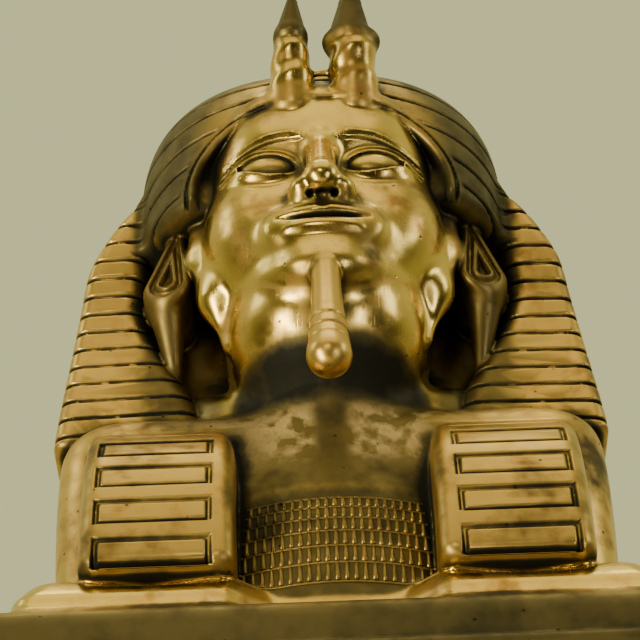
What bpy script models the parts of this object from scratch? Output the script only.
"""Pharaoh bust: one brass casting of head, striped headcloth, beard, chest bib and low plinth.

The figure is sculpted as a distance field in its own millimetres, meshed on a grid, and thinned.
The field is negative inside the metal. X is the viewer's right, -Y is the way the face looks, and
Z is up. The origin is the middle of the plinth's underside.
"""

import math
from concurrent.futures import ThreadPoolExecutor

import bpy
import numpy as np

# Sizes that can be set by themselves, in metres.
FIGURE_HEIGHT = 0.174
PLINTH_WIDTH = 0.150
PLINTH_DEPTH = 0.061
PLINTH_HEIGHT = 0.017
PLINTH_CORNER = 0.005
LIP_HEIGHT = 0.0045
LIP_REACH = 0.002

# Brass as cast and polished.
BRASS = (0.60, 0.42, 0.16, 1.0)
ROUGHNESS = 0.28

# The grid's cell, and the number of triangles that are left, with the sculpture at its design height.
CELL = 1.1
TRIANGLES = 9400

# The crown of the headcloth, a dome, flatter across the top than a ball.
CROWN_CENTRE = (0.0, 4.0, 150.0)
CROWN_RADII = (46.3, 36.5, 37.0)
CROWN_FOOT = 134.5

# The figure's own millimetres: its shares run from its foot on the plinth to the crown's top.
DESIGN_FLOOR = 14.0
DESIGN_TOP = CROWN_CENTRE[2] + CROWN_RADII[2] + 1.0
SCALE = FIGURE_HEIGHT * 1000.0 / (DESIGN_TOP - DESIGN_FLOOR)

# The beard: it leaves the chin, leans forward and ends in a ball.
BEARD_ROOT = (0.0, -36.0, 100.5)
BEARD_END = (0.0, -44.2, 68.0)
BEARD_ROOT_RADIUS = 3.4
BEARD_END_RADIUS = 5.1

# The figure's reach to front and back, and so the middle that stands over the plinth's middle.
FRONT_REACH = BEARD_END[1] - BEARD_END_RADIUS
BACK_REACH = CROWN_CENTRE[1] + CROWN_RADII[1]
MIDDLE_Y = (FRONT_REACH + BACK_REACH) / 2.0


def smooth_min(a, b, k):
    """Joins two fields with a fillet about k wide."""
    h = np.maximum(k - np.abs(a - b), 0.0) / k
    return np.minimum(a, b) - h * h * k * 0.25


def smooth_max(a, b, k):
    """Keeps what both fields share, with the edge rounded about k wide."""
    return -smooth_min(-a, -b, k)


def ramp(value, low, high):
    """0 below low, 1 above high, and an easy slope between."""
    t = np.clip((value - low) / (high - low), 0.0, 1.0)
    return t * t * (3.0 - 2.0 * t)


def curve(t, knots):
    """A smooth curve through (t, value) knots, which never overshoots them."""
    ts, vs = (np.array(column, np.float32) for column in zip(*knots))
    steps = np.diff(ts)
    slopes = np.diff(vs) / steps
    tangents = np.concatenate([slopes[:1], (slopes[1:] + slopes[:-1]) / 2.0, slopes[-1:]])
    turns = np.concatenate([[False], slopes[1:] * slopes[:-1] <= 0.0, [False]])
    tangents = np.where(turns, 0.0, tangents).astype(np.float32)
    t = np.clip(t, ts[0], ts[-1])
    i = np.clip(np.searchsorted(ts, t) - 1, 0, len(steps) - 1)
    h = steps[i]
    u = (t - ts[i]) / h
    a = (1.0 + 2.0 * u) * (1.0 - u) ** 2 * vs[i] + u * u * (3.0 - 2.0 * u) * vs[i + 1]
    return a + h * u * (1.0 - u) * ((1.0 - u) * tangents[i] - u * tangents[i + 1])


def ellipsoid(x, y, z, centre, radii, tilt=0.0, turn=0.0):
    """Distance to an ellipsoid, tilted about X and turned about Z, in degrees."""
    px, py, pz = x - centre[0], y - centre[1], z - centre[2]
    if turn:
        c, s = math.cos(math.radians(turn)), math.sin(math.radians(turn))
        px, py = c * px + s * py, c * py - s * px
    if tilt:
        c, s = math.cos(math.radians(tilt)), math.sin(math.radians(tilt))
        py, pz = c * py + s * pz, c * pz - s * py
    a, b, c = radii
    k0 = np.sqrt((px / a) ** 2 + (py / b) ** 2 + (pz / c) ** 2)
    k1 = np.sqrt((px / a**2) ** 2 + (py / b**2) ** 2 + (pz / c**2) ** 2)
    return k0 * (k0 - 1.0) / np.maximum(k1, 1e-6)


def rod(x, y, z, start, end, start_radius, end_radius):
    """Distance to a round rod between two points, its radius changing evenly."""
    ax, ay, az = (e - s for s, e in zip(start, end))
    px, py, pz = x - start[0], y - start[1], z - start[2]
    h = np.clip((px * ax + py * ay + pz * az) / (ax * ax + ay * ay + az * az), 0.0, 1.0)
    gap = np.sqrt((px - ax * h) ** 2 + (py - ay * h) ** 2 + (pz - az * h) ** 2)
    return gap - (start_radius + (end_radius - start_radius) * h)


def superellipse(u, v, power):
    """The size of (u, v) measured so that 1 is a rounded box's edge."""
    return (np.abs(u) ** power + np.abs(v) ** power) ** (1.0 / power)


# The face and head, as one loft: half width and front line against height.
FACE_HALF_WIDTH = ((96, 9.0), (100, 15.0), (104, 19.0), (110, 23.0), (118, 26.6), (126, 28.8), (134, 29.8),
                   (144, 29.6), (154, 28.6), (170, 25.5))
FACE_FRONT = ((96, -31.0), (100, -35.2), (104, -36.6), (110, -35.6), (118, -35.6), (126, -34.2), (136, -33.0),
              (144, -35.2), (150, -36.0), (158, -35.2), (166, -32.5), (172, -29.0))
FACE_MIDDLE_Y = -7.0
EYE_X = 12.6
EYE_Z = 138.4

# The cloth's plain rim that runs down in front of each ear.
RIM = ((31.0, -18.0, 152.0), (29.6, -13.0, 125.0), (26.2, -13.5, 112.0), (23.6, -12.5, 99.0))
RIM_RADII = (3.0, 2.8, 2.6, 1.0)
RIM_JOINS = (3.0, 7.0, 8.0)
RIM_BREADTH = 5.5
RIM_FRONT = -22.5


def head_core(s, y, z):
    """The plain head behind the features."""
    half = curve(z, FACE_HALF_WIDTH)
    depth = FACE_MIDDLE_Y - curve(z, FACE_FRONT)
    loft = (superellipse(s / half, (y - FACE_MIDDLE_Y) / depth, 2.45) - 1.0) * half
    jaw = (98.0 - z) * 0.94 + (y + 36.0) * 0.16
    return smooth_max(smooth_max(loft, jaw, 7.0), z - 170.0, 3.0)


def almond(s, z):
    """The eye's opening, as a distance in the face's plane: long, low, and lifted at its outer end."""
    u = (s - EYE_X) / 8.4
    lift = 0.9 * u
    return (np.abs(z - EYE_Z - lift) - 3.1 * (1.0 - u * u)) * 0.8


def face(s, y, z):
    """The skin: sockets, eyes, brows, nose, lips, chin and cheeks on the plain head."""
    d = head_core(s, y, z)
    d = smooth_min(d, ellipsoid(s, y, z, (16.5, -20.5, 126.0), (10.0, 10.0, 13.0)), 8.0)
    d = smooth_min(d, ellipsoid(s, y, z, (0.0, -30.6, 104.4), (8.6, 7.0, 5.6)), 6.0)
    for i, join in enumerate(RIM_JOINS):
        d = smooth_min(d, rod(s, y, z, *RIM[i : i + 2], *RIM_RADII[i : i + 2]), join)
    socket = ellipsoid(s, y, z, (EYE_X + 0.2, -39.2, EYE_Z + 0.9), (10.2, 8.2, 6.0), turn=16.0)
    d = smooth_max(d, -socket, 4.5)
    ball = ellipsoid(s, y, z, (EYE_X, -25.6, EYE_Z), (9.6, 8.1, 6.8), turn=14.0)
    lids = smooth_max(ball - 0.95, -almond(s, z), 0.7)
    lids = smooth_max(lids, y + 26.0, 1.0)
    d = smooth_min(d, lids, 1.2)
    d = np.minimum(d, ball)
    bridge = rod(s, y, z, (0.0, -33.4, 144.0), (0.0, -40.2, 127.5), 3.3, 3.7)
    d = smooth_min(d, bridge, 4.0)
    d = smooth_min(d, ellipsoid(s, y, z, (0.0, -40.6, 125.8), (4.3, 4.1, 3.7)), 2.2)
    d = smooth_min(d, ellipsoid(s, y, z, (4.6, -36.9, 124.6), (3.5, 4.7, 3.1)), 1.6)
    nostril = rod(s, y, z, (2.7, -40.0, 120.6), (3.1, -37.6, 124.4), 1.25, 0.9)
    d = smooth_max(d, -nostril, 0.9)
    d = smooth_min(d, ellipsoid(s, y, z, (0.0, -34.4, 115.2), (13.5, 4.4, 7.0)), 5.0)
    upper = ellipsoid(s, y, z, (4.0, -36.9, 117.1), (7.6, 2.9, 2.1), turn=16.0)
    lower = ellipsoid(s, y, z, (0.0, -37.0, 112.9), (9.2, 3.0, 2.5))
    d = smooth_min(d, upper, 1.0)
    d = smooth_min(d, lower, 1.2)
    parting = superellipse((z - 115.1 - 0.010 * s * s) / 0.55, (y + 40.2) / 2.6, 2.0) - 1.0
    parting = np.maximum(parting * 0.55, s - 11.0)
    d = smooth_max(d, -parting, 0.7)
    philtrum = rod(s, y, z, (0.0, -39.4, 122.0), (0.0, -40.4, 118.8), 0.9, 1.2)
    return smooth_max(d, -philtrum, 1.2)


def brow_line(s, z):
    """Raised brow and eye paint lines, as a height on the skin."""
    u = np.clip((s - 4.0) / 21.0, 0.0, 1.0)
    brow_z = 144.6 + 2.6 * np.sin(np.pi * np.minimum(u * 0.95 + 0.12, 1.0)) - 1.8 * u
    brow = (1.0 - ramp(np.abs(z - brow_z), 0.7, 1.4)) * ramp(s, 3.6, 5.0) * (1.0 - ramp(s, 24.0, 25.5))
    paint_z = EYE_Z + 0.9 - 0.05 * (s - 20.0)
    paint = (1.0 - ramp(np.abs(z - paint_z), 0.5, 1.1)) * ramp(s, 19.6, 20.6) * (1.0 - ramp(s, 25.0, 26.0))
    return 0.65 * brow + 0.55 * paint


# The headcloth against height: the wings' outer and inner edges and faces, and the nape's back.
WING_HALF_WIDTH = ((14, 63.5), (40, 65.5), (60, 66.0), (80, 65.0), (100, 62.8), (120, 60.2), (131, 58.5),
                   (137, 56.0), (145, 51.5), (153, 45.5), (158, 41.0), (168, 34.0))
WING_INNER = ((60, 24.0), (80, 28.0), (92, 32.0), (104, 38.0), (114, 42.5), (145, 43.0), (152, 41.0))
WING_FRONT = ((60, -5.0), (80, -4.5), (104, -4.5), (120, -5.5), (138, -8.0), (152, -9.0), (168, -6.0))
WING_BACK = ((14, 19.0), (60, 17.0), (110, 15.0), (150, 16.0), (165, 12.0))
NAPE_BACK = ((14, 31.0), (50, 28.5), (90, 31.0), (112, 35.5), (132, 37.0), (150, 34.5))
WING_FOOT = 77.0
ARCH_HALF_WIDTH = 30.5
ARCH_FOOT = 138.0
ARCH_RISE = 22.5
RECESS_FLOOR = 7.0
WING_STRIPE = 5.3
CROWN_STRIPE = 7.6


def groove(phase, width):
    """A rounded groove wherever the phase is whole, 1 at its floor."""
    away = np.abs(phase - np.round(phase))
    return 1.0 - ramp(away, 0.0, width)


def opening(s, z):
    """How far outside the face's opening a point lies, in the front view."""
    arch = ellipsoid(s, 0.0 * s, z, (0.0, 0.0, ARCH_FOOT), (ARCH_HALF_WIDTH, 1e3, ARCH_RISE))
    return np.where(z > ARCH_FOOT, arch, s - ARCH_HALF_WIDTH)


def crown(s, y, z):
    """The dome over the head, cut off level above the ears in front."""
    u = superellipse(s / CROWN_RADII[0], (y - CROWN_CENTRE[1]) / CROWN_RADII[1], 2.35)
    w = np.maximum(z - CROWN_CENTRE[2], 0.0) / CROWN_RADII[2]
    w = w + np.minimum(z - CROWN_CENTRE[2], 0.0) / 90.0
    dome = (superellipse(u, w, 2.9) - 1.0) * 37.0
    front = smooth_max(dome, CROWN_FOOT - z, 4.0)
    behind = smooth_max(smooth_max(dome, 108.0 - z, 16.0), RECESS_FLOOR + 1.0 - y, 6.0)
    return smooth_min(front, behind, 3.0)


def headcloth(s, y, z):
    """The cloth: crown, wings, nape and its stripes, with the face's opening cut through its front."""
    wing = smooth_max(s - curve(z, WING_HALF_WIDTH), curve(z, WING_FRONT) - y, 4.0)
    wing = smooth_max(wing, curve(z, WING_INNER) - s, 7.0)
    wing = smooth_max(wing, y - curve(z, WING_BACK), 8.0)
    wing = smooth_max(wing, WING_FOOT - z, 2.0)
    nape = (superellipse(s / 45.5, y / curve(z, NAPE_BACK), 2.5) - 1.0) * 33.0
    nape = smooth_max(nape, RECESS_FLOOR - y, 3.0)
    nape = smooth_max(nape, z - 150.0, 4.0)
    on_wing = ramp(s - curve(z, WING_INNER), -1.0, 1.5) * (1.0 - ramp(z, 153.0, 157.0))
    on_wing = on_wing * ramp(z, 76.0, 80.0) * (1.0 - ramp(y, 8.0, 14.0))
    wing_cut = groove((z - 2.2 + 0.03 * s) / WING_STRIPE, 0.15)
    on_back = ramp(y, 14.0, 20.0)
    on_crown = np.maximum(ramp(z, CROWN_FOOT - 3.0, CROWN_FOOT - 1.0), on_back)
    crown_cut = groove((z - 155.0 + 0.28 * (y + 24.0)) / CROWN_STRIPE, 0.12)
    out = opening(s, z)
    dome = crown(s, y, z) + 0.8 * crown_cut * on_crown * ramp(out, 3.6, 4.8)
    wing = wing + 0.75 * wing_cut * on_wing
    nape = nape + 0.8 * crown_cut * on_back * ramp(z, 84.0, 88.0)
    d = smooth_min(dome, wing, 3.0)
    d = smooth_min(d, nape, 5.0)
    rim = (1.0 - ramp(np.abs(out - 0.9), 0.9, 1.5)) - 0.9 * (1.0 - ramp(np.abs(out - 2.4), 0.1, 0.9))
    d = d - 0.6 * rim * ramp(z, CROWN_FOOT, CROWN_FOOT + 2.0) * (y < 0.0)
    hole = smooth_max(out, y - RIM_FRONT, 3.0)
    hole = smooth_min(hole, smooth_max(out + RIM_BREADTH, y + 5.0, 3.0), 1.0)
    return smooth_max(d, -hole, 2.5)


def frontlet(s, y, z):
    """The plain band across the forehead."""
    band = head_core(s, y, z) - 1.3
    band = smooth_max(band, np.abs(z - 162.0 + 0.004 * s * s) - 2.6, 1.2)
    return smooth_max(band, y + 12.0, 1.0)


# Each ear in the front view: the round below, the point above, the tail, and how far back it reaches.
EAR_LOW = (38.4, 119.4)
EAR_HIGH = (36.2, 134.4)
EAR_LOW_RADIUS = 6.0
EAR_HIGH_RADIUS = 2.4
EAR_FRONT = -14.0
EAR_TAIL = ((38.4, -7.0, 114.0), (36.8, -1.0, 99.0))


def ears(s, y, z):
    """Ears that stand in front of the recess: a looped rim, a ridge inside it, a hollow and a tail."""
    ax, az = EAR_HIGH[0] - EAR_LOW[0], EAR_HIGH[1] - EAR_LOW[1]
    h = np.clip(((s - EAR_LOW[0]) * ax + (z - EAR_LOW[1]) * az) / (ax * ax + az * az), 0.0, 1.0)
    away = np.sqrt((s - EAR_LOW[0] - ax * h) ** 2 + (z - EAR_LOW[1] - az * h) ** 2)
    edge = away - (EAR_LOW_RADIUS + (EAR_HIGH_RADIUS - EAR_LOW_RADIUS) * h)
    front = EAR_FRONT + 0.35 * (s - 37.0) + 0.06 * (z - 124.0)
    hollow = 1.5 * (1.0 - ramp(np.abs(edge + 2.6), 0.2, 1.1)) + 2.2 * ramp(-edge, 4.1, 5.2)
    plate = smooth_max(edge, front + hollow - y, 3.4)
    plate = smooth_max(plate, y - RECESS_FLOOR - 2.0, 1.0)
    tail = rod(s, y, z, EAR_TAIL[0], EAR_TAIL[1], 4.4, 1.5)
    return smooth_min(plate, tail, 3.0)


# The chest and lappets: their front line against height.
CHEST_FRONT = ((14, -22.5), (30, -21.5), (52, -18.5), (70, -14.5), (86, -12.0))
SHOULDER_FRONT = -13.0
SHOULDER_INSET = 2.5
LAPPET_FRONT = ((14, -31.0), (22, -31.5), (36, -31.2), (48, -29.5), (58, -26.0), (66, -20.5), (73, -12.5), (79, -4.0),
                (85, 4.0))
LAPPET_INNER = ((14, 21.0), (40, 21.5), (60, 21.8), (80, 25.5))
LAPPET_OUTER = 55.0
LAPPET_FOOT = 22.8
BIB_TOP = 52.0
BIB_FOOT = 20.0
BAR_PITCH = 10.6
BAR_INNER = 27.0


def neck_and_chest(s, y, z):
    """The throat, the neck and the chest's block down to the plinth."""
    neck = rod(s * 0.98, y, z, (0.0, 8.0, 60.0), (0.0, 7.0, 120.0), 21.5, 22.5)
    throat = ellipsoid(s, y, z, (0.0, -8.5, 101.0), (24.0, 25.0, 21.0), tilt=-24.0)
    neck = smooth_min(neck, throat, 8.0)
    chest = smooth_max(curve(z, CHEST_FRONT) + 0.010 * s * s - y, s - 45.0, 6.0)
    chest = smooth_max(chest, z - 87.0 - 0.6 * (y + 12.0), 5.0)
    chest = smooth_max(chest, y - 20.0, 8.0)
    shoulder = smooth_max(s - curve(z, WING_HALF_WIDTH) + SHOULDER_INSET, SHOULDER_FRONT - y, 14.0)
    shoulder = smooth_max(smooth_max(shoulder, z - 82.0, 12.0), y - curve(z, WING_BACK), 14.0)
    d = smooth_min(neck, smooth_min(chest, shoulder, 2.0), 3.0)
    inside = ramp(z, BIB_FOOT - 1.0, BIB_FOOT) * (1.0 - ramp(z, BIB_TOP, BIB_TOP + 1.0)) * (1.0 - ramp(s, 20.5, 21.5))
    rows = groove((z - BIB_FOOT) / ((BIB_TOP - BIB_FOOT) / 6.0), 0.22)
    return d - inside * (0.5 - 0.5 * rows) * (y < 0.0)


# The slope at the figure's foot against height, which spreads out over the plinth.
SKIRT_FRONT = ((12, -26.5), (14.5, -28.6), (17, -29.2), (21, -27.6), (25, -24.6), (28, -21.5))
SKIRT_SIDE = ((12, 66.5), (14.5, 69.0), (17, 69.0), (21, 67.3), (25, 65.3))
SKIRT_BACK = 21.0
SKIRT_TOP = 26.0
SKIRT_SAG = 3.5
BIB_INSET = 7.0


def skirt(s, y, z):
    """The slope at the figure's foot, all round."""
    front = curve(z, SKIRT_FRONT) + BIB_INSET * (1.0 - ramp(s, 13.0, 25.0))
    d = smooth_max((front - y) * 0.85, (s - curve(z, SKIRT_SIDE)) * 0.9, 6.0)
    sag = SKIRT_SAG * np.maximum(1.0 - ((s - 39.0) / 18.0) ** 2, 0.0)
    return smooth_max(smooth_max(d, z - SKIRT_TOP + sag, 3.5), y - SKIRT_BACK, 6.0)


def lappets(s, y, z):
    """The two cloth ends that roll over the shoulders and hang on the chest, with their bars."""
    front = curve(z, LAPPET_FRONT)
    d = smooth_max((front - y) * 0.8, s - LAPPET_OUTER, 5.0)
    d = smooth_max(d, curve(z, LAPPET_INNER) - s, 4.0)
    d = smooth_max(d, LAPPET_FOOT - z, 4.0)
    d = smooth_max(d, z - 86.0, 4.0)
    d = smooth_max(d, y - 10.0, 3.0)
    phase = (z - LAPPET_FOOT - 1.2) / BAR_PITCH
    bar = np.abs(phase - np.floor(phase) - 0.29) * BAR_PITCH - 3.1
    bar = np.maximum(bar, BAR_INNER - s)
    bar = np.maximum(bar, s - LAPPET_OUTER + 4.0)
    outline = 1.0 - ramp(np.abs(bar), 0.15, 1.0)
    return d + 0.7 * outline * (z < 67.0) * (z > LAPPET_FOOT + 1.0) * (y < 2.0)


def beard(s, y, z):
    """The plaited false beard."""
    stem = rod(s, y, z, BEARD_ROOT, BEARD_END, BEARD_ROOT_RADIUS, BEARD_END_RADIUS)
    down = (BEARD_ROOT[2] - z) / (BEARD_ROOT[2] - BEARD_END[2])
    waist = 0.5 * np.sin(np.pi * np.clip(down, 0.0, 1.0))
    rings = groove(down * 8.0, 0.20) * ramp(down, 0.5, 0.6) * (1.0 - ramp(down, 0.84, 0.9))
    return stem + waist + 0.45 * rings


def queue(s, y, z):
    """The gathered tail of cloth down the back."""
    tail = rod(s, y, z, (0.0, 33.5, 118.0), (0.0, 28.5, 44.0), 5.0, 7.0)
    return tail + 0.5 * groove(z / 6.5, 0.16) * ramp(y, 24.0, 28.0)


# The brow ornament: the middles of its two stalks across the brow.
VULTURE_X = -6.4
COBRA_X = 8.8


def uraeus(x, y, z):
    """The vulture, on the wearer's right, and the cobra, each on a stalk that leans out over the brow."""
    v = x - VULTURE_X
    vulture = rod(v, y, z, (0.0, -31.0, 160.0), (0.0, -37.6, 174.0), 6.6, 4.3)
    ring = ellipsoid(v, y, z, (0.1, -38.9, 177.0), (4.4, 4.6, 3.0), tilt=-28.0)
    beak = rod(v, y, z, (0.2, -39.6, 178.4), (0.7, -43.2, 185.4), 3.9, 1.5)
    vulture = smooth_min(smooth_min(vulture, ring, 1.0), beak, 0.8)
    c = x - COBRA_X
    cobra = rod(c * 0.96, y, z, (0.3, -31.0, 160.0), (0.0, -37.4, 173.0), 5.9, 5.4)
    lip = ellipsoid(c, y, z, (0.0, -38.3, 175.6), (7.3, 5.0, 2.5), tilt=-20.0)
    head = rod(c, y, z, (-0.2, -39.2, 178.0), (0.1, -42.2, 185.0), 5.2, 3.0)
    cobra = smooth_min(smooth_min(cobra, lip, 2.2), head, 1.0)
    bridge = rod(x, y, z, (-3.0, -35.0, 168.2), (5.0, -35.0, 168.2), 0.8, 0.8)
    return smooth_min(np.minimum(vulture, cobra), bridge, 0.8)


def figure(x, y, z):
    """The whole figure above the plinth, in its own millimetres."""
    s = np.abs(x)
    skin = face(s, y, z) - brow_line(s, z) * (y < -10.0)
    d = smooth_min(skin, neck_and_chest(s, y, z), 3.0)
    d = smooth_min(d, headcloth(s, y, z), 0.8)
    d = smooth_min(d, frontlet(s, y, z), 0.6)
    d = smooth_min(d, skirt(s, y, z), 2.0)
    d = smooth_min(d, lappets(s, y, z), 1.0)
    d = smooth_min(d, ears(s, y, z), 0.8)
    d = smooth_min(d, beard(s, y, z), 1.0)
    d = smooth_min(d, queue(s, y, z), 2.0)
    d = smooth_min(d, uraeus(x, y, z), 1.2)
    return d


def plinth(x, y, z):
    """The low plinth in real millimetres: a lip at the floor, a plain face and a rounded top edge."""
    corner = PLINTH_CORNER * 1000.0
    half_x = PLINTH_WIDTH * 500.0 - corner
    half_y = PLINTH_DEPTH * 500.0 - corner
    qx, qy = np.abs(x) - half_x, np.abs(y) - half_y
    out = np.sqrt(np.maximum(qx, 0.0) ** 2 + np.maximum(qy, 0.0) ** 2) + np.minimum(np.maximum(qx, qy), 0.0) - corner
    lip = smooth_max(out, z - LIP_HEIGHT * 1000.0, 1.6)
    body = smooth_max(out + LIP_REACH * 1000.0, z - PLINTH_HEIGHT * 1000.0, 6.0)
    return smooth_min(lip, body, 1.6)


def bust(points):
    """The casting's field at (n, 3) points in real millimetres."""
    x, y, z = (points[:, i] for i in range(3))
    fx, fy = x / SCALE, y / SCALE + MIDDLE_Y
    fz = (z - PLINTH_HEIGHT * 1000.0) / SCALE + DESIGN_FLOOR
    d = figure(fx, fy, fz) * SCALE
    d = np.maximum(d, PLINTH_HEIGHT * 500.0 - z)
    d = smooth_min(d, plinth(x, y, z), 3.5)
    return np.maximum(d, -z)


def sampled(field, points):
    """The field at many points, in batches shared among threads."""
    batches = [points[i : i + 60_000] for i in range(0, len(points), 60_000)]
    with ThreadPoolExecutor(4) as pool:
        return np.concatenate(list(pool.map(field, batches)))


def grid_values(field, low, counts, cell, coarse=4):
    """The field on a grid, worked out fully only near the surface."""
    shape = [int(math.ceil(n / coarse)) * coarse for n in counts]
    blocks = [n // coarse for n in shape]
    middle = (coarse - 1) / 2.0
    index = np.stack(np.meshgrid(*(np.arange(n) for n in blocks), indexing="ij"), -1).reshape(-1, 3)
    rough = sampled(field, (low + (index * coarse + middle) * cell).astype(np.float32)).reshape(blocks)
    values = rough.repeat(coarse, 0).repeat(coarse, 1).repeat(coarse, 2)
    near = np.abs(values) < coarse * cell * 1.35
    where = np.argwhere(near)
    values[near] = sampled(field, (low + where * cell).astype(np.float32))
    return values


def split_cubes():
    """For each of the 256 ways that a cube's corners can be inside, whether either side falls in two pieces."""
    table = np.zeros(256, bool)
    for code in range(256):
        for side in (code, code ^ 255):
            left = {c for c in range(8) if side >> c & 1}
            reached = {min(left)} if left else set()
            grown = True
            while grown:
                grown = {c ^ bit for c in reached for bit in (1, 2, 4)} & left - reached
                reached |= grown
            table[code] |= reached != left
    return table


def fill_pinches(values, cell):
    """Fills grid points until no cell holds two separate sheets of surface, which would share an edge or a point."""
    split = split_cubes()
    steps = np.array([[c >> 2 & 1, c >> 1 & 1, c & 1] for c in range(8)])
    size = [n - 1 for n in values.shape]
    while True:
        code = np.zeros(size, np.uint8)
        for bit, step in enumerate(steps):
            part = tuple(slice(d, d + n) for d, n in zip(step, size))
            code |= (values[part] < 0.0).astype(np.uint8) << bit
        pinched = np.argwhere(split[code])
        if not len(pinched):
            return
        corners = (pinched[:, None] + steps).reshape(-1, 3)
        height = values[tuple(corners.T)].reshape(-1, 8)
        nearest = np.where(height < 0.0, np.inf, height).argmin(1)
        chosen = corners.reshape(-1, 8, 3)[np.arange(len(pinched)), nearest]
        values[tuple(chosen.T)] = -0.02 * cell


def surface_net(field, low, high, cell):
    """(points, quads) of the zero surface: one point in each crossed cell, one quad on each crossed edge."""
    low = np.array(low, np.float64)
    counts = [int(math.ceil((h - l) / cell)) + 1 for l, h in zip(low, high)]
    values = grid_values(field, low, counts, cell)
    fill_pinches(values, cell)
    counts = values.shape
    inside = values < 0.0
    total = np.zeros([n - 1 for n in counts] + [3], np.float32)
    crossings = np.zeros([n - 1 for n in counts], np.float32)
    for axis in range(3):
        near, far = [slice(None)] * 3, [slice(None)] * 3
        near[axis], far[axis] = slice(None, -1), slice(1, None)
        a, b = values[tuple(near)], values[tuple(far)]
        hit = (a < 0.0) != (b < 0.0)
        with np.errstate(divide="ignore", invalid="ignore"):
            t = np.where(hit, a / (a - b), 0.0)
        others = [i for i in range(3) if i != axis]
        for du in (0, 1):
            for dv in (0, 1):
                part = [slice(None)] * 3
                for other, step in zip(others, (du, dv)):
                    part[other] = slice(step, counts[other] - 1 + step)
                h = hit[tuple(part)]
                crossings += h
                total[..., axis] += t[tuple(part)] * h
                for other, step in zip(others, (du, dv)):
                    total[..., other] += step * h
    used = crossings > 0
    number = np.full(used.shape, -1, np.int64)
    number[used] = np.arange(used.sum())
    cells = np.argwhere(used)
    points = low + (cells + total[used] / crossings[used][:, None]) * cell
    quads = []
    for axis in range(3):
        u, v = (axis + 1) % 3, (axis + 2) % 3
        near, far = [slice(1, -1)] * 3, [slice(1, -1)] * 3
        near[axis], far[axis] = slice(0, -1), slice(1, None)
        a, b = inside[tuple(near)], inside[tuple(far)]
        edges = np.argwhere(a != b)
        flip = a[tuple(edges.T)]
        base = edges + 1
        base[:, axis] -= 1
        corners = []
        for du, dv in ((0, 0), (1, 0), (1, 1), (0, 1)):
            at = base.copy()
            at[:, u] -= du
            at[:, v] -= dv
            corners.append(number[tuple(at.T)])
        quad = np.stack(corners, 1)
        quad[~flip] = quad[~flip][:, ::-1]
        quads.append(quad)
    return points, np.concatenate(quads)


def gradient(field, points, step):
    """The field's slope at each point."""
    slope = np.empty_like(points)
    for axis in range(3):
        offset = np.zeros(3, points.dtype)
        offset[axis] = step
        slope[:, axis] = (sampled(field, points + offset) - sampled(field, points - offset)) / (2.0 * step)
    return slope


def settle(field, points, step, rounds=2):
    """Moves points onto the surface, along the field's slope, by at most one step each round."""
    points = points.astype(np.float32)
    for _ in range(rounds):
        slope = gradient(field, points, step * 0.25)
        steep = np.maximum((slope**2).sum(1), 0.05)
        move = slope * (sampled(field, points) / steep)[:, None]
        length = np.sqrt((move**2).sum(1, keepdims=True))
        points -= move * np.minimum(1.0, step / np.maximum(length, 1e-9))
    return points


def brass():
    """The casting's material."""
    material = bpy.data.materials.new("brass")
    material.use_nodes = True
    shader = material.node_tree.nodes["Principled BSDF"]
    shader.inputs["Base Color"].default_value = BRASS
    shader.inputs["Metallic"].default_value = 1.0
    shader.inputs["Roughness"].default_value = ROUGHNESS
    return material


def thin(obj, triangles):
    """Collapses edges until about the given number of triangles is left."""
    count = sum(len(face.vertices) - 2 for face in obj.data.polygons)
    decimate = obj.modifiers.new("thin", "DECIMATE")
    decimate.ratio = min(1.0, triangles / count)
    decimate.use_collapse_triangulate = True
    graph = bpy.context.evaluated_depsgraph_get()
    mesh = bpy.data.meshes.new_from_object(obj.evaluated_get(graph))
    obj.modifiers.clear()
    obj.data = mesh


def main():
    """Builds the bust as one closed solid."""
    for obj in list(bpy.data.objects):
        bpy.data.objects.remove(obj)
    cell = CELL * max(SCALE, 0.5)
    half_x = max(PLINTH_WIDTH * 500.0, 68.0 * SCALE) + 3.0
    half_y = max(PLINTH_DEPTH * 500.0, (BACK_REACH - FRONT_REACH) / 2.0 * SCALE) + 4.0
    top = (FIGURE_HEIGHT + PLINTH_HEIGHT) * 1000.0 + 4.0
    half_x = (math.ceil(half_x / cell) + 0.5) * cell
    points, quads = surface_net(bust, (-half_x, -half_y, -2.5 * cell), (half_x, half_y, top), cell)
    points = settle(bust, points, cell * 0.5)
    points[:, 2] = np.where(points[:, 2] < 0.2, 0.0, points[:, 2])
    mesh = bpy.data.meshes.new("pharaoh_bust")
    mesh.from_pydata((points / 1000.0).tolist(), [], quads.tolist())
    obj = bpy.data.objects.new("pharaoh_bust", mesh)
    bpy.context.scene.collection.objects.link(obj)
    bpy.context.view_layer.update()
    thin(obj, TRIANGLES)
    for vertex in obj.data.vertices:
        if vertex.co.z < 0.0002:
            vertex.co.z = 0.0
    obj.data.materials.clear()
    obj.data.materials.append(brass())
    obj.data.shade_smooth()


if __name__ == "__main__":
    main()
